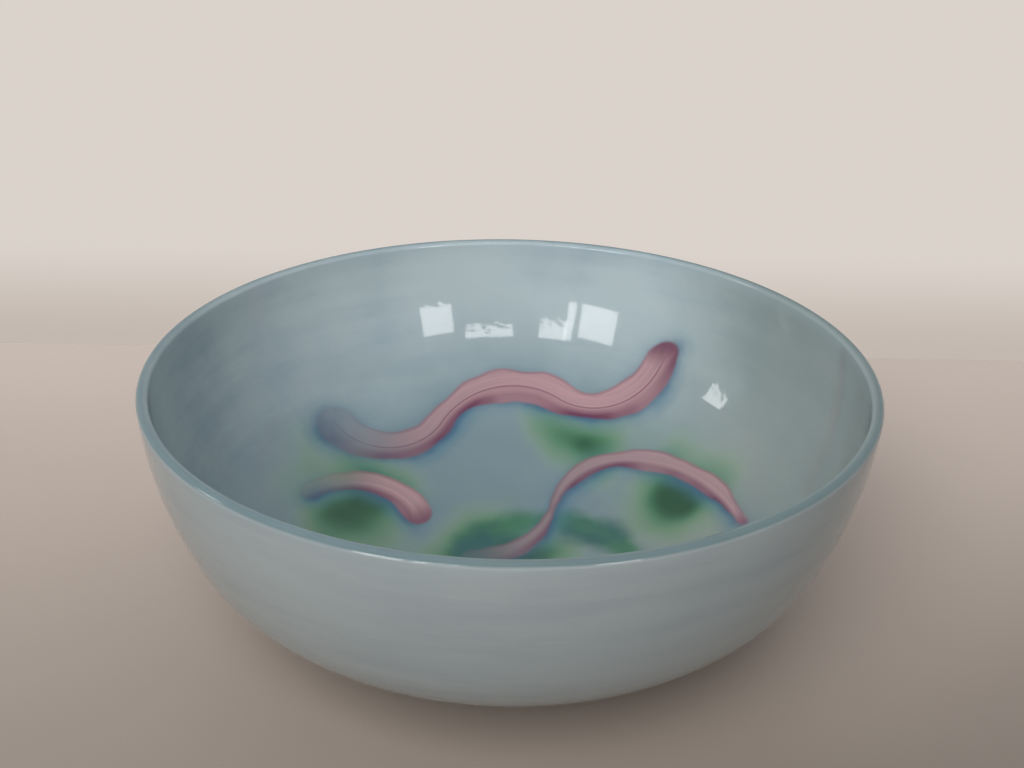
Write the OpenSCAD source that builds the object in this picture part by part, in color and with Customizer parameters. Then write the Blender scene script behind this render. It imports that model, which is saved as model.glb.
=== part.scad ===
// Blown glass fruit bowl: one solid of revolution with a fire-polished lip,
// a nearly upright side, a rounded heel and a ground standing ring. Coloured
// trails and soft green clouds lie flush in the glass of the inside.
// Millimetres, +Z up, origin at the middle of the standing ring on the table.

/* [Rim] */
// Diameter over the outside of the lip
rim_d = 240; // [200:1:300]
// Height of the lip above the table
bowl_h = 89; // [75:0.5:110]
// Lean of the wall outwards at the lip, in degrees from upright
rim_lean = 2.3; // [0:0.1:5]

/* [Heel] */
// Radius of the heel, where the side turns under
heel_r = 47; // [35:0.5:57]
// How far the heel's arc stays inside the rim, seen from above
heel_tuck = 6.1; // [4:0.1:10]
// How far the heel's arc stays above the table
heel_lift = 14.1; // [10:0.1:18]

/* [Glass] */
// Thickness of the wall at the lip, which is rounded right over
lip_t = 3.8; // [3:0.1:5]
// Thickness of the wall round the heel
heel_t = 5; // [4:0.1:7]
// Thickness of the glass in the middle of the floor
floor_t = 6; // [4:0.1:8]

/* [Standing ring] */
// Diameter over the outside of the ground ring
foot_d = 110; // [80:1:130]
// Width of the ground ring
ring_w = 8; // [4:0.5:14]
// Depth of the polished hollow inside the ring
hollow_depth = 1.2; // [0.5:0.1:2]

/* [Colour trails] */
// Depth to which the coloured glass has sunk into the floor and the wall
trail_depth = 1; // [0.5:0.1:2]
// Width of the broad trail
broad_w = 13; // [10:0.5:16]
// Width of the slim trail
slim_w = 8.5; // [6:0.5:10]
// Width of the short trail
short_w = 10; // [7:0.5:12]
// Width of the green band under the trails
band_w = 13; // [8:0.5:16]

/* [Hidden] */
$fn = 240;

// How far a rounding arc stands proud where it meets its neighbours, so that
// they cross at a clean point
seam = 0.003;

// How far a coloured field reaches into the glass round its bed
overlap = 0.05;

// Direction across the wall at the lip, from the inside to the outside
across = [cos(rim_lean), -sin(rim_lean)];
lip_centre = [rim_d / 2 - lip_t / 2, bowl_h - lip_t / 2];

// The outside and the inside turn about one centre at the heel
heel_centre = [rim_d / 2 - heel_tuck - heel_r, heel_lift + heel_r];

// The hollow is a shallow part of a ball centred below the table
foot_r = foot_d / 2;
hollow_half = foot_r - ring_w;
hollow_r = (hollow_half * hollow_half + hollow_depth * hollow_depth) / (2 * hollow_depth);

function unit(v) = v / norm(v);

// Radius of the arc that leaves a point of the lip square to the line across
// the wall and runs smoothly into the turn
function side_radius(start, turn_r) =
    let(reach = start - heel_centre)
    (reach * reach - turn_r * turn_r) / (2 * (across * reach - turn_r));

// Height of the centre, on the axis, of the arc that leaves a low point and
// runs smoothly into the turn. With b = k + slope * z for the arc's radius,
// b * b = low_x * low_x + z * z is a quadratic in z
function low_centre_height(low, turn_r) =
    let(
        rise = heel_centre[1] - low[1],
        slope = rise / turn_r,
        out_sq = heel_centre[0] * heel_centre[0] + rise * rise,
        k = (low[0] * low[0] + turn_r * turn_r - out_sq) / (2 * turn_r),
        a = slope * slope - 1,
        b = 2 * k * slope,
        c = k * k - low[0] * low[0]
    )
    low[1] + (sqrt(b * b - 4 * a * c) - b) / (2 * a);

module disc(centre, r) {
    translate(centre)
        circle(r = r);
}

// Wedge from the heel's centre that holds all between two directions
module wedge(from, to) {
    reach = rim_d;
    polygon([for (v = [[0, 0], from, unit(from + to), to]) heel_centre + reach * v]);
}

// All on the left of the line through the heel's centre along a direction
module left_of(direction) {
    translate(heel_centre)
        rotate(atan2(direction[1], direction[0]))
            translate([-rim_d, 0])
                square([2 * rim_d, 2 * rim_d]);
}

// Half section of a form that starts at a point of the lip, turns in at the
// heel and runs out at a low point, up to a height. The side's arc bounds what
// is above the middle of the turn, and the low arc what is below it
module form_section(start, turn_r, low, height) {
    side_r = side_radius(start, turn_r);
    side_centre = start - side_r * across;
    low_centre = [0, low_centre_height(low, turn_r)];
    turn_from = unit(heel_centre - side_centre);
    turn_to = unit(heel_centre - low_centre);
    turn_middle = unit(turn_from + turn_to);
    difference() {
        intersection() {
            square([rim_d, height]);
            union() {
                disc(side_centre, side_r);
                left_of(-turn_middle);
                square([heel_centre[0], height]);
            }
            union() {
                disc(low_centre, norm(low_centre - low));
                left_of(turn_middle);
            }
        }
        difference() {
            wedge(turn_from, turn_to);
            disc(heel_centre, turn_r + seam);
        }
    }
}

module outside_section() {
    form_section(lip_centre + lip_t / 2 * across, heel_r, [foot_r, 0], bowl_h);
}

// The inside, or with a depth the surface that lies so deep in the glass
module inside_section(depth = 0) {
    form_section(lip_centre - (lip_t / 2 - depth) * across, heel_r - heel_t + depth,
        [0, hollow_depth + floor_t - depth], 2 * bowl_h);
}

// Everything above the line across the wall through the middle of the lip
module above_lip() {
    translate(lip_centre)
        rotate(-rim_lean)
            translate([-lip_t, 0])
                square([2 * lip_t, lip_t]);
}

module hollow_section() {
    disc([0, hollow_depth - hollow_r], hollow_r);
}

module glass_section() {
    difference() {
        outside_section();
        inside_section();
        above_lip();
        hollow_section();
    }
    disc(lip_centre, lip_t / 2 + seam);
}

// The trails are drawn on a plane that leans back over the floor and the far
// wall, x to the right and y up the wall, and sink in square to that plane.
// A trail is a start, a direction and a chain of arcs, each a radius and an
// angle, left turns positive. A cloud is a centre and a radius. All their
// lengths are parts of the rim's radius, so the drawing grows with the rim
broad_trail = [[0.52, 0.82], 250, [[0.23, -105], [0.28, 100], [0.2, -115]]];
slim_trail = [[0.7, 0.18], 100, [[0.33, 75], [0.25, 80], [0.28, -70]]];
short_trail = [[-0.28, 0.22], 120, [[0.22, 100]]];
green_band = [[0.42, -0.03], 105, [[0.32, 120]]];
green_clouds = [[0.55, 0.25, 0.12], [-0.03, 0.08, 0.125], [-0.48, 0.25, 0.13], [0.25, 0.52, 0.1]];

function towards(angle) = [cos(angle), sin(angle)];

// Part of a ring between two angles, and a round end at each of them, which is
// a little broader than the ring, so that the two cross at a clean point
module ring_arc(centre, r, width, from, to) {
    translate(centre) {
        intersection() {
            difference() {
                circle(r = r + width / 2);
                circle(r = r - width / 2);
            }
            polygon([[0, 0], for (i = [0 : 6]) 2 * r * towards(from + (to - from) * i / 6)]);
        }
        for (angle = [from, to])
            translate(r * towards(angle))
                circle(d = 1.01 * width);
    }
}

// A chain of arcs of one width, laid from a place in a direction
module chain(arcs, place, direction, width, first = 0) {
    if (first < len(arcs)) {
        r = rim_d / 2 * arcs[first][0];
        angle = arcs[first][1];
        side = sign(angle);
        centre = place + r * towards(direction + 90 * side);
        from = direction - 90 * side;
        ring_arc(centre, r, width, from, from + angle);
        chain(arcs, centre + r * towards(from + angle), direction + angle, width, first + 1);
    }
}

module trail(drawn, width) {
    chain(drawn[2], rim_d / 2 * drawn[0], drawn[1], width);
}

// The fields, or with a spread the same ones that much larger all round
module trails(spread = 0) {
    trail(broad_trail, broad_w + 2 * spread);
    trail(slim_trail, slim_w + 2 * spread);
    trail(short_trail, short_w + 2 * spread);
}

module greens(spread = 0) {
    trail(green_band, band_w + 2 * spread);
    for (cloud = rim_d / 2 * green_clouds)
        disc([cloud[0], cloud[1]], cloud[2] + spread);
}

// The glass under a field drawn on the leaning plane, down to a depth
module sunk(depth) {
    lean = 45;
    intersection() {
        rotate([lean, 0, 0])
            linear_extrude(height = rim_d, center = true)
                children();
        rotate_extrude()
            difference() {
                inside_section(depth);
                inside_section();
                translate([0, bowl_h - 2 * lip_t])
                    square([rim_d, rim_d]);
            }
    }
}

// Each coloured field is a little larger than its bed, so that they are one glass
module bowl() {
    color("#93a6ad")
        difference() {
            rotate_extrude()
                glass_section();
            sunk(trail_depth) {
                trails();
                greens();
            }
        }
    color("#b5808c")
        sunk(trail_depth + overlap)
            trails(overlap);
    color("#5c9277")
        sunk(trail_depth + overlap)
            difference() {
                greens(overlap);
                trails();
            }
}

bowl();
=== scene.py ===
"""Dresses the fruit bowl as blown opal glass and sets it in a plain studio."""
import math

import bmesh
import bpy
from bpy.props import FloatProperty, FloatVectorProperty, IntProperty, PointerProperty
from mathutils import Matrix, Vector


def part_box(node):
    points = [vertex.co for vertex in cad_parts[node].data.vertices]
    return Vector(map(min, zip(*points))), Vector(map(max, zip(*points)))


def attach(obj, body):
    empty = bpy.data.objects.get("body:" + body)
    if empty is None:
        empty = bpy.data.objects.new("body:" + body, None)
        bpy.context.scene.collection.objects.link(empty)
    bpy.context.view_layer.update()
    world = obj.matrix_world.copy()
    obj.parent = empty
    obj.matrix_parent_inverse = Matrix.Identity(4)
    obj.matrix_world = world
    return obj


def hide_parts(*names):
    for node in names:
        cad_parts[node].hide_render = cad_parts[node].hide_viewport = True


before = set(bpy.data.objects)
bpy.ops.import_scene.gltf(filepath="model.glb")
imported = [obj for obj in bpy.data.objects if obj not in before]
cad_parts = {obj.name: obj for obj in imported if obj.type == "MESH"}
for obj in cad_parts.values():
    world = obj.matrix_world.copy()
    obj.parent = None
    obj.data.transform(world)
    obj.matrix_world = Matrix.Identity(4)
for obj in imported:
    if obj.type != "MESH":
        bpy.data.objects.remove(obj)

bl_info = {
    "name": "Opal Glass Fruit Bowl",
    "version": (1, 0, 0),
    "blender": (4, 5, 0),
    "location": "View3D > Sidebar > Bowl",
    "description": "Blows a cased opal glass bowl with coloured trails and sets up its studio",
    "category": "Add Mesh",
}

MM = 0.001
# A length in metres or an angle in degrees that counts as nothing
NEARLY_ZERO = 1e-6
NODE = "bowl"
CAD_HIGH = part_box(NODE)[1]
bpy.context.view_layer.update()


def to_linear(hex_colour):
    """An sRGB hex colour as the linear values that Blender mixes."""
    channels = [int(hex_colour[i:i + 2], 16) / 255 for i in (1, 3, 5)]
    return tuple(c / 12.92 if c <= 0.04045 else ((c + 0.055) / 1.055) ** 2.4 for c in channels)


def length(name, description, default_mm):
    """A length that a user may change, with its default in millimetres."""
    return FloatProperty(name=name, description=description, default=default_mm * MM,
                         min=0.0, unit="LENGTH", subtype="DISTANCE", precision=4)


def colour(name, description, hex_colour):
    """A colour that a user may change."""
    return FloatVectorProperty(name=name, description=description, subtype="COLOR", size=3,
                               min=0.0, max=1.0, default=to_linear(hex_colour))


def level(name, description, default):
    """A level of light that a user may change."""
    return FloatProperty(name=name, description=description, default=default, min=0.0)


class BowlSizes(bpy.types.PropertyGroup):
    """Sizes of the section, as on the maker's drawing."""
    rim_d: length("Rim", "Diameter over the outside of the lip", 2 * CAD_HIGH.x / MM)
    bowl_h: length("Height", "Height of the lip above the table", CAD_HIGH.z / MM)
    rim_lean: FloatProperty(name="Rim lean", description="Lean of the wall outwards at the lip",
                            default=math.radians(2.3), subtype="ANGLE")
    heel_r: length("Heel radius", "Radius of the outside where the side turns under", 47)
    heel_tuck: length("Heel tuck", "How far the heel's arc stays inside the rim", 6.1)
    heel_lift: length("Heel lift", "How far the heel's arc stays above the table", 14.1)
    lip_t: length("Lip", "Thickness of the wall at the lip", 3.8)
    heel_t: length("Heel wall", "Thickness of the wall round the heel", 5)
    floor_t: length("Floor", "Thickness of the glass in the middle of the floor", 6)
    foot_d: length("Foot", "Diameter over the ground ring", 110)
    ring_w: length("Ring width", "Width of the ground ring", 8)
    hollow_depth: length("Hollow", "Depth of the polished hollow inside the ring", 1.2)
    turns: IntProperty(name="Turns", description="Facets round the bowl", default=360, min=48)


class TrailSizes(bpy.types.PropertyGroup):
    """Widths of the coloured trails laid on the hot glass."""
    broad_w: length("Broad trail", "Width of the broad trail", 13)
    slim_w: length("Slim trail", "Width of the slim trail", 8.5)
    short_w: length("Short trail", "Width of the short trail", 10)
    band_w: length("Green band", "Width of the green band under the trails", 13)
    halo_w: length("Halo", "How far the blue bleeds out beside a trail", 9)


class GlassColours(bpy.types.PropertyGroup):
    """Colours of the glass and of the trails in it."""
    inside_deep: colour("Inside, deep", "Blue of the inside where the casing is thick", "#8c9faa")
    inside_pale: colour("Inside, pale", "Blue of the inside where the casing is thin", "#b7c4c8")
    # painted shade: a darker blue laid over the floor and the near left side
    inside_shade: colour("Inside, floor", "Blue of the casing on the floor", "#667e86")
    # painted shade: a dark blue-green laid over the near part of the floor
    inside_near_shade: colour("Inside, near", "Blue-green of the near part of the floor", "#3c6468")
    # painted shade: a greyer, darker tone laid over the near right side
    inside_warm_shade: colour("Inside, warm", "Greyer casing on the right side", "#87908a")
    outside_deep: colour("Outside, deep", "Grey-blue of the streaks on the outside", "#919b9e")
    outside_pale: colour("Outside, pale", "Grey-blue of the outside", "#99a2a4")
    ground: colour("Ground", "Matt glass of the standing ring", "#bcbfbf")
    lip_line: colour("Lip line", "Clear casing that gathers over the lip", "#4f686d")
    lip_band: colour("Lip band", "Paler glass just inside the lip", "#a6b6bd")
    trail_core: colour("Trail core", "Pink of the trails", "#b68f94")
    trail_dusk: colour("Trail dusk", "Mauve of the trails where they run thin", "#85777c")
    trail_edge: colour("Trail edge", "Wine red that gathers at their edges", "#67304b")
    halo: colour("Halo", "Blue that bleeds out beside the trails", "#42728a")
    halo_deep: colour("Halo, deep", "Dark blue that lies close along the trails", "#2d5375")
    green: colour("Green", "Soft green clouds", "#377353")
    green_deep: colour("Green, deep", "Deep green in the middle of the clouds", "#094226")
    green_pale: colour("Green, pale", "Yellowish green round the clouds", "#83a07a")
    band: colour("Green band", "Blue-green of the band", "#235b59")


class StudioSettings(bpy.types.PropertyGroup):
    """Table, wall and lamps. A level of 1 shows a colour about as it is written."""
    # painted shade: one table paint, lighter by the wall and darker towards the front
    table_shade_near: colour("Table, near", "Table top in front of the bowl", "#978b81")
    table_shade_mid: colour("Table, middle", "Table top under the bowl", "#b9aba1")
    table_shade_far: colour("Table, far", "Table top by the wall", "#d3c4ba")
    wall_colour: colour("Wall", "Pale wall behind the table", "#dad2cb")
    # painted shade: the wall darker at its foot, where it meets the table
    wall_foot_shade: colour("Wall's foot", "The wall where it meets the table", "#c3b8af")
    sky_front: level("Sky, front", "Level of the even light in front", 0.33)
    sky_back: level("Sky, back", "Level of the even light by the wall", 0.51)
    key: level("Key", "Level of the soft lamp in front", 0.93)
    windows: level("Windows", "Brightness of the panes that the glass mirrors", 7.0)


# The section


# Facets of each part of the section, in the order in which it is drawn
FACETS = {"hollow": 24, "ring": 4, "underside": 20, "heel": 16, "side": 24, "lip": 18,
          "inner_side": 50, "inner_heel": 30, "floor": 70}
# Facets that meet at more than this look like an edge, as round the ground ring
SHARP_ANGLE = math.radians(20)


def flat(x, z):
    """A point of the half section, which is drawn in the XZ plane."""
    return Vector((x, 0.0, z))


def turn_of(arm):
    """Angle of an arm in the section, from the X axis up towards Z."""
    return math.atan2(arm.z, arm.x)


def side_radius(start, across, heel, turn_r):
    """Radius of the side's arc, which leaves the lip square and runs into the heel."""
    reach = start - heel
    return (reach.length_squared - turn_r ** 2) / (2 * (across.dot(reach) - turn_r))


def low_centre(low, heel, turn_r):
    """Centre on the axis of the arc that leaves a low point and runs into the heel."""
    rise = heel.z - low.z
    slope = rise / turn_r
    # the arc's radius is k + slope * z for a centre z above the low point, and its square is also
    # low.x ** 2 + z ** 2, so z is the root of a quadratic
    k = (low.x ** 2 + turn_r ** 2 - heel.x ** 2 - rise ** 2) / (2 * turn_r)
    a, b, c = slope ** 2 - 1, 2 * k * slope, k ** 2 - low.x ** 2
    return flat(0.0, low.z + (math.sqrt(b * b - 4 * a * c) - b) / (2 * a))


class Pen:
    """Draws the half section as a chain of edges and notes how far along it each point is."""

    def __init__(self, bm, start):
        self.bm = bm
        self.run = bm.verts.layers.float.new("run")
        self.tip = bmesh.ops.create_vert(bm, co=start)["vert"][0]
        self.edges = []

    def arc(self, centre, to_angle, steps):
        """Turns the tip round a centre until its arm has an angle."""
        arm = self.tip.co - centre
        angle = to_angle - turn_of(arm)
        before, run = self.tip, self.tip[self.run]
        made = bmesh.ops.spin(self.bm, geom=[self.tip], cent=centre, axis=(0.0, -1.0, 0.0),
                              angle=angle, steps=steps)
        self.tip = made["geom_last"][0]
        step = abs(angle) * arm.length / steps
        vert = before
        for i in range(steps):
            edge = next(e for e in vert.link_edges if e not in self.edges)
            self.edges.append(edge)
            vert = edge.other_vert(vert)
            vert[self.run] = run + step * (i + 1)

    def line(self, end, steps):
        """Moves the tip straight to an end."""
        leap = (end - self.tip.co) / steps
        for _ in range(steps):
            made = bmesh.ops.extrude_vert_indiv(self.bm, verts=[self.tip])
            made["verts"][0].co += leap
            made["verts"][0][self.run] = self.tip[self.run] + leap.length
            self.tip = made["verts"][0]
            self.edges.append(made["edges"][0])


def draw_section(bm, s):
    """The half section, from the middle of the hollow out, up and over the lip, and down inside.

    The layer "run" is then the way in mm from the top of the lip, positive inside.
    """
    across = flat(math.cos(s.rim_lean), -math.sin(s.rim_lean))
    lip = flat(s.rim_d / 2 - s.lip_t / 2, s.bowl_h - s.lip_t / 2)
    heel = flat(s.rim_d / 2 - s.heel_tuck - s.heel_r, s.heel_lift + s.heel_r)
    foot = flat(s.foot_d / 2, 0.0)
    ring_in = foot.x - s.ring_w
    hollow_r = (ring_in ** 2 + s.hollow_depth ** 2) / (2 * s.hollow_depth)
    hollow = flat(0.0, s.hollow_depth - hollow_r)

    pen = Pen(bm, flat(0.0, s.hollow_depth))
    pen.arc(hollow, turn_of(flat(ring_in, 0.0) - hollow), FACETS["hollow"])
    pen.line(foot, FACETS["ring"])
    under = low_centre(foot, heel, s.heel_r)
    side_r = side_radius(lip + across * s.lip_t / 2, across, heel, s.heel_r)
    side = lip + across * (s.lip_t / 2 - side_r)
    pen.arc(under, turn_of(heel - under), FACETS["underside"])
    pen.arc(heel, turn_of(heel - side), FACETS["heel"])
    pen.arc(side, -s.rim_lean, FACETS["side"])
    pen.arc(lip, math.pi - s.rim_lean, FACETS["lip"])
    lip_run = pen.tip[pen.run] - math.pi * s.lip_t / 4

    turn_r = s.heel_r - s.heel_t
    side_r = side_radius(lip - across * s.lip_t / 2, across, heel, turn_r)
    side = lip - across * (s.lip_t / 2 + side_r)
    bottom = flat(0.0, s.hollow_depth + s.floor_t)
    under = low_centre(bottom, heel, turn_r)
    pen.arc(side, turn_of(heel - side), FACETS["inner_side"])
    pen.arc(heel, turn_of(heel - under), FACETS["inner_heel"])
    pen.arc(under, -math.pi / 2, FACETS["floor"])
    for vert in bm.verts:
        vert[pen.run] = (vert[pen.run] - lip_run) / MM


# The trails


# Each trail is drawn on a plane that leans back over the floor and the far wall: a start, a
# heading in degrees and a chain of arcs, each a radius and an angle, left turns positive. The
# lengths are parts of the rim's radius, as in the part's source
BROAD_TRAIL = ((0.52, 0.82), 250, ((0.23, -105), (0.28, 100), (0.2, -115)))
SLIM_TRAIL = ((0.7, 0.18), 100, ((0.33, 75), (0.25, 80), (0.28, -70)))
SHORT_TRAIL = ((-0.28, 0.22), 120, ((0.22, 100),))
GREEN_BAND = ((0.42, -0.03), 105, ((0.32, 120),))
GREEN_CLOUDS = ((0.55, 0.25, 0.12), (-0.03, 0.08, 0.125), (-0.48, 0.25, 0.13), (0.25, 0.52, 0.1))

# How each trail looks, in the order in which they were laid: the share of its length at which its
# pink starts to turn mauve, the share of its width that it loses at its end, and whether a fine
# dark line runs in it. A start below 0 is a trail that is partly mauve from its first end on
TRAIL_LOOKS = {"short_trail": (0.3, 0.1, False), "slim_trail": (-0.3, 0.15, False),
               "broad_trail": (0.5, 0.0, True)}

# A distance in mm that stands for a point far from every trail
FAR_OFF = 1000.0
# How many degrees before its first angle an arc still counts a point as its own side
ARC_SLACK = 30


def towards(angle):
    """Unit vector on the leaning plane at an angle in degrees."""
    return Vector((math.cos(math.radians(angle)), math.sin(math.radians(angle))))


def lay_out(trail, rim_r):
    """The trail's arcs, its two ends and its length, in mm.

    An arc is a centre, a radius, a side, a first angle, a sweep and the length before it.
    """
    start, heading, arcs = rim_r * Vector(trail[0]), trail[1], []
    place, run = start, 0.0
    for part, sweep in trail[2]:
        radius = rim_r * part
        side = math.copysign(1, sweep)
        centre = place + radius * towards(heading + 90 * side)
        first = heading - 90 * side
        arcs.append((centre, radius, side, first, abs(sweep), run))
        run += radius * math.radians(abs(sweep))
        place = centre + radius * towards(first + sweep)
        heading += sweep
    ends = ((start, towards(trail[1] + 180)), (place, towards(heading)))
    return arcs, ends, run


def across_trail(point, arcs, ends, total, half_width):
    """How far a point is outside the trail's edge, to its left and along it, in mm."""
    best = (FAR_OFF, 0.0, 0.0)
    for centre, radius, side, first, sweep, run in arcs:
        arm = point - centre
        turned = math.degrees(math.atan2(arm.y, arm.x)) - first
        turned = (turned * side + ARC_SLACK) % 360 - ARC_SLACK
        if -NEARLY_ZERO <= turned <= sweep + NEARLY_ZERO:
            left = (radius - arm.length) * side
            if abs(left) < best[0]:
                best = (abs(left), left, run + radius * math.radians(turned))
    for (end, out), run, way in zip(ends, (0.0, total), (-1, 1)):
        arm = point - end
        beyond = arm.dot(out)
        if beyond > 0 and arm.length < best[0]:
            left = way * (out.x * arm.y - out.y * arm.x)
            best = (arm.length, left, run + way * beyond)
    return best[0] - half_width, best[1], best[2]


def mark_trails(mesh, laid, rim_r):
    """Writes where every point of the inside lies beside each trail to an attribute, in mm.

    The trails come by name, each as its drawing and its width.
    """
    run = [item.value for item in mesh.attributes["run"].data]
    # the plane of the drawing leans back by 45 degrees
    leaning = [Vector((v.co.x, (v.co.y + v.co.z) * math.sqrt(0.5))) / MM for v in mesh.vertices]
    for name, (trail, width) in laid.items():
        arcs, ends, total = lay_out(trail, rim_r)
        marks = mesh.attributes.new(name, "FLOAT_VECTOR", "POINT")
        for i, point in enumerate(leaning):
            near = (FAR_OFF, 0.0, 0.0)
            if run[i] > 0:
                near = across_trail(point, arcs, ends, total, width / MM / 2)
            marks.data[i].vector = near
    clouds = mesh.attributes.new("clouds", "FLOAT", "POINT")
    for i, point in enumerate(leaning):
        outside = [(point - rim_r * Vector((u, v))).length - rim_r * r for u, v, r in GREEN_CLOUDS]
        clouds.data[i].value = min(outside) if run[i] > 0 else FAR_OFF


# The materials


class Recipe:
    """A node tree, built up node by node."""

    def __init__(self, tree):
        self.tree = tree
        tree.nodes.clear()

    def add(self, kind, inputs=None, **settings):
        """Adds a node: inputs are values, or nodes or sockets to link, settings its options."""
        made = self.tree.nodes.new(kind)
        for key, value in settings.items():
            setattr(made, key, value)
        for key, value in (inputs or {}).items():
            if isinstance(key, str):
                taken = next(s for s in made.inputs if s.enabled and s.name == key)
            else:
                taken = made.inputs[key]
            if isinstance(value, bpy.types.Node):
                value = next(s for s in value.outputs if s.enabled)
            if isinstance(value, bpy.types.NodeSocket):
                self.tree.links.new(value, taken)
            else:
                taken.default_value = value
        return made


def rgba(colour_value):
    """A colour as a colour socket takes it, with full cover."""
    return (*colour_value, 1.0)


def pattern_scale(size_mm):
    """Scale of a texture whose features are this many millimetres apart."""
    return 1 / (size_mm * MM)


# The nodes that come back often. A ramp's sockets are the value, the two values between which it
# runs, and what it gives at each of them, from 0 to 1 where nothing else is set. Noise lies
# about 0.5 and seldom leaves 0.25 to 0.75
RAMP = "ShaderNodeMapRange"
MATHS = "ShaderNodeMath"
MIX = "ShaderNodeMix"
NOISE = "ShaderNodeTexNoise"
SMOOTH = {"interpolation_type": "SMOOTHSTEP"}
COLOUR = {"data_type": "RGBA"}
TIMES = {"operation": "MULTIPLY"}
PLUS = {"operation": "ADD"}
LARGER = {"operation": "MAXIMUM"}


def green_glass(add, glass, colours, place):
    """Soft green clouds in the glass, deep in the middle and yellowish at the rim."""
    drift_every, drift_reach = 42, 13.0
    clouds = add("ShaderNodeAttribute", attribute_name="clouds").outputs["Fac"]
    drift = add(NOISE, {"Vector": place, "Scale": pattern_scale(drift_every), "Detail": 1.5})
    drift = add(RAMP, {0: drift, 1: 0.25, 2: 0.75, 3: -drift_reach, 4: drift_reach})
    outside = add(MATHS, {0: clouds, 1: drift}, **PLUS)
    # mm outside the edge where each green starts and where it is full, and its strength there
    for start, full, strength, shade in ((20.0, 0.0, 0.6, colours.green_pale),
                                         (13.0, -7.0, 0.9, colours.green),
                                         (1.0, -12.0, 0.85, colours.green_deep)):
        cover = add(RAMP, {0: outside, 1: start, 2: full, 4: strength}, **SMOOTH)
        glass = add(MIX, {"Factor": cover, "A": glass, "B": rgba(shade)}, **COLOUR)
    return glass


def band_glass(add, glass, colours, place):
    """A blue-green band with soft edges, greener in patches."""
    drift_every, drift_reach = 30, 3.0
    edge = add("ShaderNodeAttribute", attribute_name="green_band").outputs["Vector"]
    edge = add("ShaderNodeSeparateXYZ", {0: edge})
    drift = add(NOISE, {"Vector": place, "Scale": pattern_scale(drift_every), "Detail": 3.0})
    drift = add(RAMP, {0: drift, 1: 0.3, 2: 0.7, 3: -drift_reach, 4: drift_reach})
    edge = add(MATHS, {0: edge, 1: drift}, **PLUS)
    patches = add(RAMP, {0: drift, 1: -1.0, 2: 2.5}, **SMOOTH)
    body = add(MIX, {"Factor": patches, "A": rgba(colours.band), "B": rgba(colours.green)},
               **COLOUR)
    cover = add(RAMP, {0: edge, 1: 4.0, 2: -3.5, 4: 0.93}, **SMOOTH)
    return add(MIX, {"Factor": cover, "A": glass, "B": body}, **COLOUR)


def halo_glass(add, glass, colours, place, halo_w, edge, side):
    """Blue bled out beside a trail: patchy, strongest on the wine side and darker close by."""
    patch_every = 30
    patches = add(NOISE, {"Vector": place, "Scale": pattern_scale(patch_every), "Detail": 3.0})
    patches = add(RAMP, {0: patches, 1: 0.35, 2: 0.6, 3: 0.35}, **SMOOTH)
    wine_side = add(RAMP, {0: side, 1: -0.8, 2: 1.2, 3: 0.2}, **SMOOTH)
    patches = add(MATHS, {0: patches, 1: wine_side}, **TIMES)
    for reach, strength, shade in ((halo_w, 0.8, colours.halo), (3.5, 0.9, colours.halo_deep)):
        halo = add(RAMP, {0: edge, 1: reach, 2: -1.0, 4: strength}, **SMOOTH)
        halo = add(MATHS, {0: halo, 1: patches}, **TIMES)
        glass = add(MIX, {"Factor": halo, "A": glass, "B": rgba(shade)}, **COLOUR)
    return glass


def pink_glass(add, colours, left, along, fade_from, total):
    """The pink of a trail, in faint streaks drawn out along it, and mauve towards its far end."""
    # the streaks are 2 mm apart and about 67 mm long
    streak_every, streak_drawn = 2, 0.03
    drawn = add(MATHS, {0: along, 1: streak_drawn}, **TIMES)
    drawn = add("ShaderNodeCombineXYZ", {0: drawn, 1: left})
    streaks = add(NOISE, {"Vector": drawn, "Scale": 1 / streak_every, "Detail": 4.0,
                          "Roughness": 0.6})
    streaks = add(RAMP, {0: streaks, 1: 0.35, 2: 0.75, 4: 0.45}, **SMOOTH)
    body = add(MIX, {"Factor": streaks, "A": rgba(colours.trail_core),
                     "B": rgba(colours.trail_dusk)}, **COLOUR)
    thin = add(RAMP, {0: along, 1: fade_from * total, 2: total, 4: 0.9}, **SMOOTH)
    return add(MIX, {"Factor": thin, "A": body, "B": rgba(colours.trail_dusk)}, **COLOUR)


def wine_share(add, place, edge, side, along, has_line):
    """How much wine red shows: a patchy side, a pool at the first end, a faint line all round."""
    pool_every = 38
    pools = add(NOISE, {"Vector": place, "Scale": pattern_scale(pool_every), "Detail": 2.0})
    pools = add(RAMP, {0: pools, 1: 0.35, 2: 0.62, 3: 0.4}, **SMOOTH)
    wine = add(RAMP, {0: side, 1: 0.0, 2: 0.75}, **SMOOTH)
    wine = add(MATHS, {0: wine, 1: pools}, **TIMES)
    blunt = add(RAMP, {0: along, 1: 7.0, 2: -4.0, 4: 0.85}, **SMOOTH)
    wine = add(MATHS, {0: wine, 1: blunt}, **LARGER)
    rim = add(RAMP, {0: edge, 1: -1.8, 2: -0.2, 4: 0.45}, **SMOOTH)
    wine = add(MATHS, {0: wine, 1: rim}, **LARGER)
    if has_line:
        # a little left of the middle
        offset = add(MATHS, {0: side, 1: -0.12}, **PLUS)
        offset = add(MATHS, {0: offset}, operation="ABSOLUTE")
        line = add(RAMP, {0: offset, 1: 0.09, 2: 0.02, 4: 0.6}, **SMOOTH)
        wine = add(MATHS, {0: wine, 1: line}, **LARGER)
    return wine


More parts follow.
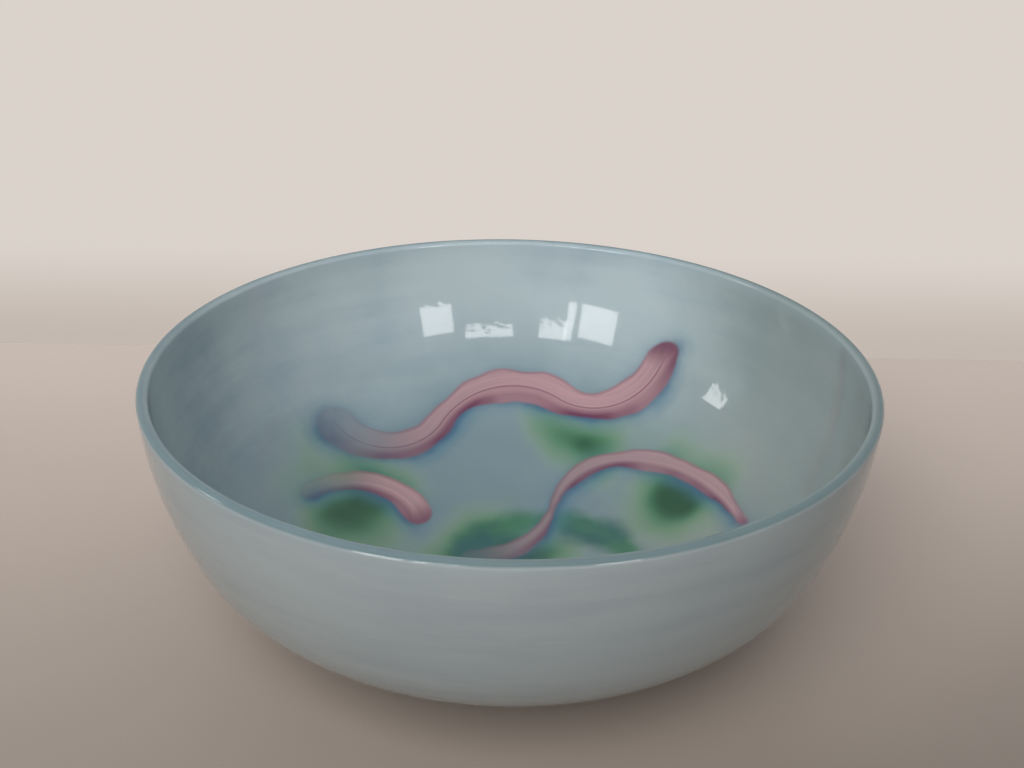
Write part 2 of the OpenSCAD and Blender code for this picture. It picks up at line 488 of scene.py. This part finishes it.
def trail_glass(add, glass, colours, place, halo_w, name, width, total):
    """A pink trail: wine red along its left side, blue bled out beside it. Lengths are in mm."""
    fade_from, narrowed, has_line = TRAIL_LOOKS[name]
    waver_every, waver_reach = 36, 3.0
    parts = add("ShaderNodeAttribute", attribute_name=name).outputs["Vector"]
    outside, left, along = add("ShaderNodeSeparateXYZ", {0: parts}).outputs
    waver = add(NOISE, {"Vector": place, "Scale": pattern_scale(waver_every), "Detail": 2.0})
    waver = add(RAMP, {0: waver, 1: 0.25, 2: 0.75, 3: -waver_reach, 4: waver_reach})
    edge = add(MATHS, {0: outside, 1: waver}, **PLUS)
    taper = add(RAMP, {0: along, 1: 0.5 * total, 2: total, 4: narrowed * width}, **SMOOTH)
    edge = add(MATHS, {0: edge, 1: taper}, **PLUS)
    # from -1 at the right edge to 1 at the left
    side = add(MATHS, {0: left, 1: 2 / width}, **TIMES)

    glass = halo_glass(add, glass, colours, place, halo_w, edge, side)
    body = pink_glass(add, colours, left, along, fade_from, total)
    wine = wine_share(add, place, edge, side, along, has_line)
    body = add(MIX, {"Factor": wine, "A": body, "B": rgba(colours.trail_edge)}, **COLOUR)

    # the edge is soft over 1.8 mm, and the far end fades into the casing
    cover = add(RAMP, {0: edge, 1: 0.9, 2: -0.9, 4: 0.94}, **SMOOTH)
    clear = add(RAMP, {0: along, 1: total - 3 * width, 2: total + 0.5 * width, 3: 1.0, 4: 0.2},
                **SMOOTH)
    cover = add(MATHS, {0: cover, 1: clear}, **TIMES)
    return add(MIX, {"Factor": cover, "A": glass, "B": body}, **COLOUR)


def inside_glass(add, colours, place, run, streaks, cloud):
    """The inside's casing in wisps and clouds, with painted shade on its floor and near sides."""
    wisps = add(NOISE, {"Vector": place, "Scale": pattern_scale(16), "Detail": 4.0,
                        "Roughness": 0.6})
    fine = add(MIX, {"Factor": 0.4, "A": streaks, "B": wisps})
    casing = add(MIX, {"Factor": 0.35, "A": cloud, "B": fine})
    thin = add(RAMP, {0: casing, 1: 0.28, 2: 0.66}, **SMOOTH)
    inside = add(MIX, {"Factor": thin, "A": rgba(colours.inside_deep),
                       "B": rgba(colours.inside_pale)}, **COLOUR)

    # painted shade over the floor: full from 95 mm inside the lip on, give or take 16 mm
    sway = add(RAMP, {0: cloud, 1: 0.3, 2: 0.7, 3: -16.0, 4: 16.0})
    depth = add(MATHS, {0: run, 1: sway}, **PLUS)
    depth = add(RAMP, {0: depth, 1: 25.0, 2: 95.0, 4: 0.85}, **SMOOTH)
    inside = add(MIX, {"Factor": depth, "A": inside, "B": rgba(colours.inside_shade)}, **COLOUR)

    # painted shade: darker near left, greyer near right, dark blue-green on the near floor
    parts = add("ShaderNodeSeparateXYZ", {0: place})
    for slant, start, full, strength, shade in ((0.5, -0.05, -0.11, 0.25, colours.inside_shade),
                                                (-0.5, 0.0, 0.08, 0.75, colours.inside_warm_shade)):
        side = add(MATHS, {0: parts.outputs[1], 1: slant, 2: parts}, operation="MULTIPLY_ADD")
        side = add(RAMP, {0: side, 1: start, 2: full, 4: strength}, **SMOOTH)
        inside = add(MIX, {"Factor": side, "A": inside, "B": rgba(shade)}, **COLOUR)
    # painted shade: dark blue-green on the near part of the floor
    near = add(RAMP, {0: parts.outputs[1], 1: 0.0, 2: -0.06}, **SMOOTH)
    near = add(MATHS, {0: near, 1: depth}, **TIMES)
    return add(MIX, {"Factor": near, "A": inside, "B": rgba(colours.inside_near_shade)}, **COLOUR)


def seed_glass(add, glass, colours, place):
    """A few dark seeds, each about a millimetre across, in one cell of eight."""
    seeds = add("ShaderNodeTexVoronoi", {"Vector": place, "Scale": pattern_scale(22)})
    chosen = add("ShaderNodeSeparateColor", {0: seeds.outputs["Color"]})
    chosen = add(MATHS, {0: chosen.outputs[0], 1: 0.875}, operation="GREATER_THAN")
    speck = add(RAMP, {0: seeds.outputs["Distance"], 1: 0.026, 2: 0.014, 4: 0.55}, **SMOOTH)
    speck = add(MATHS, {0: speck, 1: chosen}, **TIMES)
    return add(MIX, {"Factor": speck, "A": glass, "B": rgba(colours.lip_line)}, **COLOUR)


def lip_glass(add, glass, colours, run):
    """Clear casing gathered at the lip: a paler band just inside, and dark over the top."""
    # mm inside the top of the lip where each starts, is full, starts to ebb and is gone
    for (start, full, ebbing, gone), strength, shade in (
            ((0.6, 2.0, 3.0, 8.0), 0.25, colours.lip_band),
            ((-2.6, -1.6, -0.4, 2.6), 0.75, colours.lip_line)):
        cover = add(RAMP, {0: run, 1: start, 2: full, 4: strength}, **SMOOTH)
        ebb = add(RAMP, {0: run, 1: gone, 2: ebbing}, **SMOOTH)
        cover = add(MATHS, {0: cover, 1: ebb}, **TIMES)
        glass = add(MIX, {"Factor": cover, "A": glass, "B": rgba(shade)}, **COLOUR)
    return glass


def blown_waves(add, place):
    """The blown surface: slow waves, and fine ripples that break the mirrored edges."""
    swell = add(NOISE, {"Vector": place, "Scale": pattern_scale(45), "Detail": 1.0})
    waves = add("ShaderNodeBump", {"Strength": 0.4, "Distance": 0.6 * MM, "Height": swell})
    ripple = add(NOISE, {"Vector": place, "Scale": pattern_scale(9), "Detail": 1.0})
    return add("ShaderNodeBump", {"Strength": 0.5, "Distance": 0.03 * MM, "Height": ripple,
                                  "Normal": waves})


def opal_glass(colours, halo_w, laid, rim_r):
    """Cased opal glass, blown and fire polished.

    A milky layer under a clear one: the colour is soft and a little cloudy, drawn out in
    faint level streaks by the turning of the pipe, and the surface has a wet gloss. The
    trails are coloured glass laid on hot and worked in flush, so their edges bleed.
    """
    material = bpy.data.materials.new("cased_opal_glass")
    material.use_nodes = True
    add = Recipe(material.node_tree).add
    place = add("ShaderNodeTexCoord").outputs["Object"]
    run = add("ShaderNodeAttribute", attribute_name="run").outputs["Fac"]

    # level streaks, long round the wall and fine up it, over slow clouds of the casing
    stretched = add("ShaderNodeMapping", {"Vector": place, "Scale": (0.12, 0.12, 1.0)})
    streaks = add(NOISE, {"Vector": stretched, "Scale": pattern_scale(7), "Detail": 4.0,
                          "Roughness": 0.6})
    cloud = add(NOISE, {"Vector": place, "Scale": pattern_scale(70), "Detail": 3.0})

    # the outside is plain, and gives way to the inside just before the top of the lip
    skin = add(MIX, {"Factor": 0.4, "A": streaks, "B": cloud})
    skin = add(RAMP, {0: skin, 1: 0.36, 2: 0.62}, **SMOOTH)
    outside = add(MIX, {"Factor": skin, "A": rgba(colours.outside_deep),
                        "B": rgba(colours.outside_pale)}, **COLOUR)
    inside = inside_glass(add, colours, place, run, streaks, cloud)
    inward = add(RAMP, {0: run, 1: -2.5, 2: -0.5}, **SMOOTH)
    glass = add(MIX, {"Factor": inward, "A": outside, "B": inside}, **COLOUR)

    glass = green_glass(add, glass, colours, place)
    glass = band_glass(add, glass, colours, place)
    for name in TRAIL_LOOKS:
        trail, width = laid[name]
        total = lay_out(trail, rim_r)[2]
        glass = trail_glass(add, glass, colours, place, halo_w, name, width / MM, total)
    glass = seed_glass(add, glass, colours, place)
    glass = lip_glass(add, glass, colours, run)

    shader = add("ShaderNodeBsdfPrincipled",
                 {"Base Color": glass, "Roughness": 0.05, "IOR": 1.5,
                  "Normal": blown_waves(add, place), "Subsurface Weight": 0.15,
                  "Subsurface Radius": (1.0, 1.0, 1.0), "Subsurface Scale": 4 * MM})
    add("ShaderNodeOutputMaterial", {0: shader})
    return material


def ground_glass(colours):
    """The same glass, ground flat on the standing ring: matt and a little lighter."""
    material = bpy.data.materials.new("ground_opal_glass")
    material.use_nodes = True
    add = Recipe(material.node_tree).add
    place = add("ShaderNodeTexCoord").outputs["Object"]
    # the marks of the grit are 0.25 mm apart, coarser than real ones, so that they show
    grit = add(NOISE, {"Vector": place, "Scale": pattern_scale(0.25)})
    shade = add(MIX, {"Factor": grit, "A": rgba(colours.outside_pale),
                      "B": rgba(colours.ground)}, **COLOUR)
    marks = add("ShaderNodeBump", {"Strength": 0.3, "Distance": 0.02 * MM, "Height": grit})
    shader = add("ShaderNodeBsdfPrincipled", {"Base Color": shade, "Roughness": 0.55,
                                              "IOR": 1.5, "Normal": marks})
    add("ShaderNodeOutputMaterial", {0: shader})
    return material


# The stage


# The camera looks down at the bowl from straight in front
CAMERA_PLACE = (0.00053, -0.36838, 0.25929)
CAMERA_PITCH = math.radians(26.024)
CAMERA_ROLL = math.radians(1.012)
CAMERA_LENS_MM = 43.03
# The table ends in front of the wall's foot, and both run far out of the picture
WALL_LINE_Y = 0.200
TABLE_REACH = 20.0
WALL_REACH = 40.0
# Where the wall, which lies flat behind the table, has its full colour and its painted shade ends
WALL_PLAIN_Y = 0.36
# Where the table has its near, middle and far colours: painted shade, darker towards the front
TABLE_NEAR_Y = -0.10
TABLE_MID_Y = 0.05
TABLE_FAR_Y = 0.19

# Lit panes that the glass mirrors, as seen from the bowl: direction, height above the table,
# width and height, all in degrees, and how ragged the foot is, as a share of the height.
# Direction 0 is the front, and positive is to the right
PANES = ((28.0, 12.9, 11.4, 12.6, 0.15), (8.6, 19.2, 17.3, 6.0, 0.5), (-15.8, 17.6, 9.8, 8.6, 0.4),
         (-22.0, 11.8, 3.0, 19.4, 0.0), (-32.5, 10.4, 13.0, 19.0, 0.0),
         (-88.0, 17.5, 9.0, 9.0, 0.3))
PANE_DISTANCE = 3.0
PANE_AIM = (0.0, 0.1, 0.055)

# The soft lamp: its direction and height in degrees, its side and its distance in metres
KEY_VIEW = (-18.0, 40.0)
KEY_SIDE = 1.4
KEY_DISTANCE = 1.8


def table_paint(studio):
    """Painted board: soft sheen, faint unevenness in the paint, painted shade towards the front.
    """
    material = bpy.data.materials.new("painted_table")
    material.use_nodes = True
    add = Recipe(material.node_tree).add
    place = add("ShaderNodeTexCoord").outputs["Object"]
    parts = add("ShaderNodeSeparateXYZ", {0: place})
    # painted shade: the board darkens towards the front
    near = add(RAMP, {0: parts.outputs[1], 1: TABLE_NEAR_Y, 2: TABLE_MID_Y})
    far = add(RAMP, {0: parts.outputs[1], 1: TABLE_MID_Y, 2: TABLE_FAR_Y})
    board = add(MIX, {"Factor": near, "A": rgba(studio.table_shade_near),
                      "B": rgba(studio.table_shade_mid)}, **COLOUR)
    board = add(MIX, {"Factor": far, "A": board, "B": rgba(studio.table_shade_far)}, **COLOUR)
    # painted shade: the paint darkens towards the near right corner, where the light falls off
    corner_shade = add(MATHS, {0: parts.outputs[1], 1: -1.2, 2: parts.outputs[0]},
                 operation="MULTIPLY_ADD")
    corner_shade = add(RAMP, {0: corner_shade, 1: 0.10, 2: 0.28, 3: 1.0, 4: 0.72}, **SMOOTH)
    coat_and_shade = add(NOISE, {"Vector": place, "Scale": pattern_scale(90), "Detail": 3.0})
    coat_and_shade = add(RAMP, {0: coat_and_shade, 3: 0.97, 4: 1.03})
    # the coat's faint unevenness, times the painted shade of the corner
    coat_and_shade = add(MATHS, {0: coat_and_shade, 1: corner_shade}, **TIMES)
    paint = add(MIX, {"Factor": 1.0, "A": board, "B": coat_and_shade}, blend_type="MULTIPLY", **COLOUR)
    shader = add("ShaderNodeBsdfPrincipled", {"Base Color": paint, "Roughness": 0.5,
                                              "IOR": 1.55})
    add("ShaderNodeOutputMaterial", {0: shader})
    return material


def wall_paint(studio):
    """Matt wall paint with painted shade at its foot; the camera and the gloss see its own colour.
    """
    material = bpy.data.materials.new("painted_wall")
    material.use_nodes = True
    add = Recipe(material.node_tree).add
    place = add("ShaderNodeTexCoord").outputs["Object"]
    depth = add("ShaderNodeSeparateXYZ", {0: place}).outputs[1]
    # painted shade: the wall darkens towards its foot
    rise = add(RAMP, {0: depth, 1: WALL_LINE_Y, 2: WALL_PLAIN_Y}, **SMOOTH)
    shade = add(MIX, {"Factor": rise, "A": rgba(studio.wall_foot_shade),
                      "B": rgba(studio.wall_colour)}, **COLOUR)
    path = add("ShaderNodeLightPath")
    seen = add(MATHS, {0: path.outputs["Is Camera Ray"], 1: path.outputs["Is Glossy Ray"]},
               **LARGER)
    seen = add(MATHS, {0: seen, 1: path.outputs["Is Transmission Ray"]}, **LARGER)
    lit = add("ShaderNodeBsdfDiffuse", {0: shade})
    glow = add("ShaderNodeEmission", {0: shade, 1: 1.0})
    mixed = add("ShaderNodeMixShader", {0: seen, 1: lit, 2: glow})
    add("ShaderNodeOutputMaterial", {0: mixed})
    return material


def lay_plane(name, y_from, y_to, material):
    """A flat board or wall on the floor, as wide as the table reaches on both sides."""
    bm = bmesh.new()
    bmesh.ops.create_grid(bm, x_segments=1, y_segments=1, size=0.5)
    bmesh.ops.scale(bm, vec=(2 * TABLE_REACH, y_to - y_from, 1.0), verts=bm.verts)
    bmesh.ops.translate(bm, vec=(0.0, (y_from + y_to) / 2, 0.0), verts=bm.verts)
    mesh = bpy.data.meshes.new(name)
    bm.to_mesh(mesh)
    bm.free()
    mesh.materials.append(material)
    plane = bpy.data.objects.new(name, mesh)
    bpy.context.collection.objects.link(plane)


def hide_foot(lamp, share):
    """Hides a ragged part of a pane's foot, as leaves would. The bowl mirrors it on top."""
    clumps, soft = 4.5, 0.02
    lamp.use_nodes = True
    add = Recipe(lamp.node_tree).add
    # from 0 to 1 across the pane and up it
    place = add("ShaderNodeNewGeometry").outputs["Parametric"]
    height = add("ShaderNodeSeparateXYZ", {0: place}).outputs[1]
    ragged = add(NOISE, {"Vector": place, "Scale": clumps, "Detail": 2.0})
    ragged = add(RAMP, {0: ragged, 1: 0.35, 2: 0.65, 3: -share, 4: share})
    edge = add(MATHS, {0: height, 1: ragged}, **PLUS)
    seen = add(RAMP, {0: edge, 1: 0.5 * share - soft, 2: 0.5 * share + soft})
    light = add("ShaderNodeEmission", {0: (1.0, 1.0, 1.0, 1.0), 1: seen})
    add("ShaderNodeOutputLight", {0: light})


def hang_lamp(name, view, distance, wide, high, radiance, mirrored, hidden=0.0):
    """A rectangular lamp that faces the bowl, seen from it in a direction and at a height.

    A mirrored lamp only shows in the gloss, and any other only gives soft light.
    """
    way, height = (math.radians(value) for value in view)
    out = Vector((math.sin(way) * math.cos(height), -math.cos(way) * math.cos(height),
                  math.sin(height)))
    lamp = bpy.data.lights.new(name, "AREA")
    lamp.shape = "RECTANGLE"
    lamp.size, lamp.size_y = wide, high
    # a flat lamp's power is pi times its radiance and its area
    lamp.energy = radiance * wide * high * math.pi
    if hidden:
        hide_foot(lamp, hidden)
    holder = bpy.data.objects.new(name, lamp)
    holder.matrix_world = (Matrix.Translation(Vector(PANE_AIM) + out * distance)
                           @ out.to_track_quat("Z", "Y").to_matrix().to_4x4())
    holder.visible_glossy = mirrored
    holder.visible_diffuse = not mirrored
    bpy.context.collection.objects.link(holder)


def hang_lamps(studio):
    """The panes that the glass mirrors, and the soft lamp."""
    for index, (way, height, wide, high, hidden) in enumerate(PANES):
        sides = [2 * PANE_DISTANCE * math.tan(math.radians(value) / 2) for value in (wide, high)]
        hang_lamp(f"pane_{index}", (way, height), PANE_DISTANCE, *sides, studio.windows, True,
                  hidden)
    # at a level of 1 it lights a surface that faces it as fully as a white sky would
    radiance = studio.key * math.pi * (KEY_DISTANCE / KEY_SIDE) ** 2
    hang_lamp("key", KEY_VIEW, KEY_DISTANCE, KEY_SIDE, KEY_SIDE, radiance, False)


def light_sky(studio):
    """Even light, brighter from the wall's side; the camera sees the wall's colour all round."""
    world = bpy.data.worlds.new("studio")
    bpy.context.scene.world = world
    world.use_nodes = True
    add = Recipe(world.node_tree).add
    path = add("ShaderNodeLightPath")
    way = add("ShaderNodeSeparateXYZ", {0: add("ShaderNodeTexCoord").outputs["Generated"]})
    strength = add(RAMP, {0: way.outputs[1], 1: -0.6, 2: 0.6, 3: studio.sky_front,
                          4: studio.sky_back}, **SMOOTH)
    even = add("ShaderNodeBackground", {0: (1.0, 1.0, 1.0, 1.0), 1: strength})
    wall = add("ShaderNodeBackground", {0: rgba(studio.wall_colour), 1: 1.0})
    mixed = add("ShaderNodeMixShader", {0: path.outputs["Is Camera Ray"], 1: even, 2: wall})
    add("ShaderNodeOutputWorld", {0: mixed})


def set_camera():
    """The camera as it was fitted to the picture's outline and lip."""
    lens = bpy.data.cameras.new("camera")
    lens.lens = CAMERA_LENS_MM
    lens.sensor_width = 36.0
    lens.clip_start = 0.01
    camera = bpy.data.objects.new("camera", lens)
    camera.matrix_world = (Matrix.Translation(CAMERA_PLACE)
                           @ Matrix.Rotation(math.pi / 2 - CAMERA_PITCH, 4, "X")
                           @ Matrix.Rotation(CAMERA_ROLL, 4, "Z"))
    bpy.context.collection.objects.link(camera)
    bpy.context.scene.camera = camera


# The operators


class BOWL_OT_blow(bpy.types.Operator):
    """Spin the section into the glass bowl and give it its opal glass and trails"""
    bl_idname = "bowl.blow"
    bl_label = "Blow the bowl"

    def execute(self, context):
        scene = context.scene
        sizes, widths, colours = scene.bowl_sizes, scene.bowl_trails, scene.bowl_colours
        if sizes.lip_t >= sizes.heel_r:
            raise ValueError("the lip is thicker than the heel's radius")
        bm = bmesh.new()
        draw_section(bm, sizes)
        bmesh.ops.spin(bm, geom=list(bm.verts) + list(bm.edges), cent=(0, 0, 0), axis=(0, 0, 1),
                       angle=2 * math.pi, steps=sizes.turns, use_merge=True)
        on_axis = [v for v in bm.verts if v.co.xy.length < NEARLY_ZERO]
        bmesh.ops.remove_doubles(bm, verts=on_axis, dist=NEARLY_ZERO)
        bmesh.ops.recalc_face_normals(bm, faces=bm.faces)
        for face in bm.faces:
            face.smooth = True
            # only the standing ring lies on the table
            face.material_index = int(max(v.co.z for v in face.verts) < NEARLY_ZERO)
        mesh = bpy.data.meshes.new("glass_bowl")
        bm.to_mesh(mesh)
        bm.free()
        mesh.set_sharp_from_angle(angle=SHARP_ANGLE)

        rim_r = sizes.rim_d / 2 / MM
        laid = {"green_band": (GREEN_BAND, widths.band_w),
                "slim_trail": (SLIM_TRAIL, widths.slim_w),
                "short_trail": (SHORT_TRAIL, widths.short_w),
                "broad_trail": (BROAD_TRAIL, widths.broad_w)}
        mark_trails(mesh, laid, rim_r)
        mesh.materials.append(opal_glass(colours, widths.halo_w / MM, laid, rim_r))
        mesh.materials.append(ground_glass(colours))
        piece = bpy.data.objects.new("glass_bowl", mesh)
        context.collection.objects.link(piece)
        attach(piece, "root")
        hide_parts(NODE)
        return {"FINISHED"}


class BOWL_OT_stage(bpy.types.Operator):
    """Lay the table and the wall, light them and set the camera"""
    bl_idname = "bowl.stage"
    bl_label = "Set the stage"

    def execute(self, context):
        studio = context.scene.bowl_studio
        lay_plane("table", -TABLE_REACH, WALL_LINE_Y, table_paint(studio))
        lay_plane("wall", WALL_LINE_Y, WALL_REACH, wall_paint(studio))
        hang_lamps(studio)
        light_sky(studio)
        set_camera()
        return {"FINISHED"}


class BOWL_PT_panel(bpy.types.Panel):
    bl_idname = "BOWL_PT_panel"
    bl_label = "Opal Glass Fruit Bowl"
    bl_space_type = "VIEW_3D"
    bl_region_type = "UI"
    bl_category = "Bowl"

    def draw(self, context):
        scene = context.scene
        for group in (scene.bowl_sizes, scene.bowl_trails, scene.bowl_colours, scene.bowl_studio):
            box = self.layout.box()
            for name in group.__annotations__:
                box.prop(group, name)
        for operator in OPERATORS:
            self.layout.operator(operator.bl_idname)


OPERATORS = (BOWL_OT_blow, BOWL_OT_stage)
GROUPS = {"bowl_sizes": BowlSizes, "bowl_trails": TrailSizes, "bowl_colours": GlassColours,
          "bowl_studio": StudioSettings}


def register():
    for cls in (*GROUPS.values(), *OPERATORS, BOWL_PT_panel):
        bpy.utils.register_class(cls)
    for name, group in GROUPS.items():
        setattr(bpy.types.Scene, name, PointerProperty(type=group))


def unregister():
    for name in GROUPS:
        delattr(bpy.types.Scene, name)
    for cls in reversed((*GROUPS.values(), *OPERATORS, BOWL_PT_panel)):
        bpy.utils.unregister_class(cls)


def main():
    register()
    bpy.context.scene.view_settings.view_transform = "Standard"
    bpy.ops.bowl.blow()
    bpy.ops.bowl.stage()


if __name__ == "__main__":
    main()
